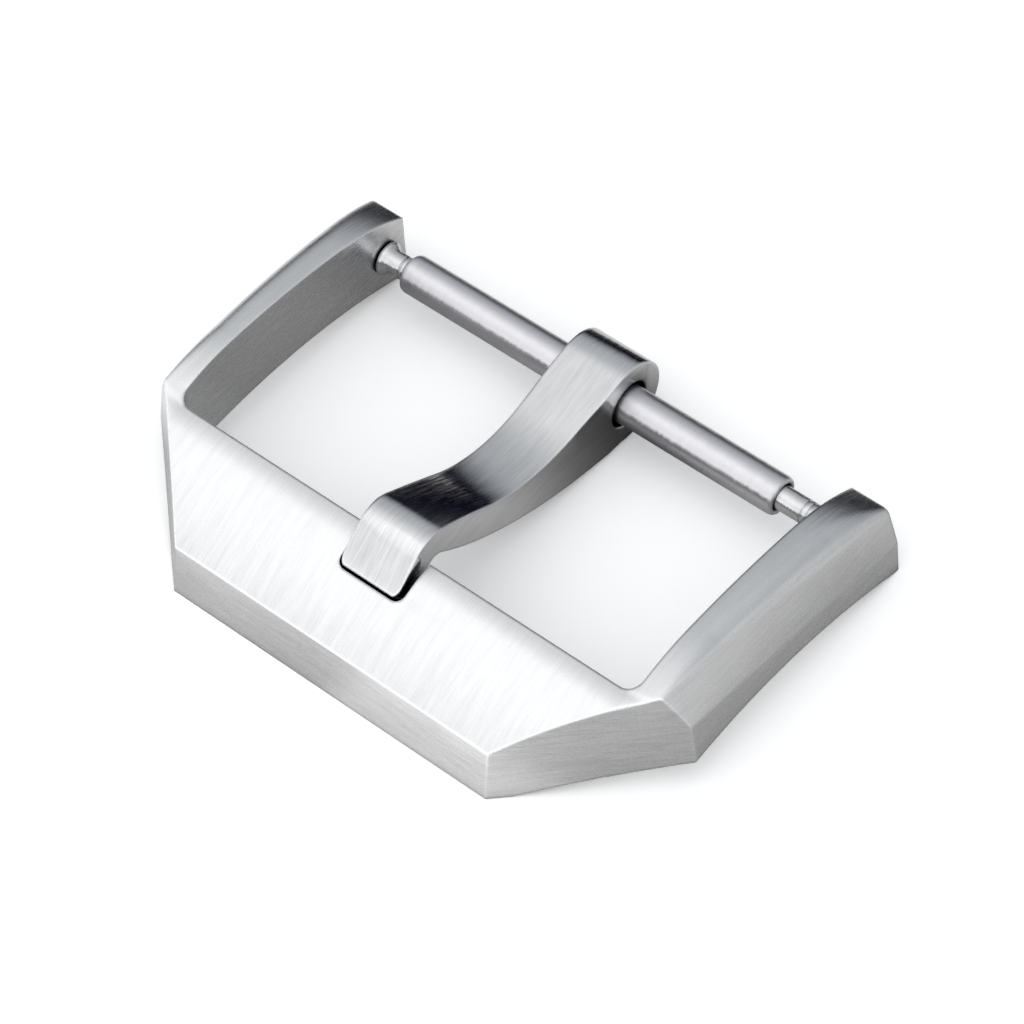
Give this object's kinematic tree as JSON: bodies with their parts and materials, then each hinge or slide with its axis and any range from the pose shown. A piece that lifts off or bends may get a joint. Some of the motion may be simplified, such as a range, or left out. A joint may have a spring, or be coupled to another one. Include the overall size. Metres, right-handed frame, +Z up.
{
  "type": "watch strap tang buckle",
  "caption": "Brushed steel tang buckle for a watch strap, with a bevelled U-shaped frame, a curved swinging tang seated in a notch, and a sprung bar that carries both tang and strap.",
  "frame": {"origin": "on the table under the middle of the whole buckle as it lies on its feet with the tang closed", "axes": "+X along the spring bar, +Y from the front bar towards the spring bar, +Z up, away from the table"},
  "size_m": [0.0242, 0.0166, 0.0049],
  "materials": {
    "frame_steel": "fine brushed, with crisp edges",
    "tang_steel": "brushed along its length",
    "tube_steel": "satin",
    "plunger_steel": "bright turned",
    "spring_steel": "drawn wire"
  },
  "bodies": {
    "frame": {"buckle_frame": "frame_steel"},
    "tang": {"tang": "tang_steel"},
    "bar": {"spring_bar_tube": "tube_steel", "coil_spring": "spring_steel"},
    "left_plunger": {"left_plunger": "plunger_steel"},
    "right_plunger": {"right_plunger": "plunger_steel"}
  },
  "joints": [
    {"name": "tang_swing", "type": "hinge", "parent": "frame", "child": "tang", "pos_m": [0, 0.0066, 0.00175], "axis": [-1, 0, 0], "range_deg": [0, 338]},
    {"name": "tube_spin", "type": "hinge", "parent": "frame", "child": "bar", "pos_m": [0, 0.0066, 0.00175], "axis": [1, 0, 0], "continuous": true},
    {"name": "left_plunger_slide", "type": "slide", "parent": "bar", "child": "left_plunger", "axis": [1, 0, 0], "range_m": [0, 0.00075], "stiffness_N_per_m": 400, "springref_m": -0.0015, "deforming": ["coil_spring"]},
    {"name": "right_plunger_slide", "type": "slide", "parent": "bar", "child": "right_plunger", "axis": [-1, 0, 0], "range_m": [0, 0.00075], "stiffness_N_per_m": 400, "springref_m": -0.0015, "deforming": ["coil_spring"]}
  ]
}
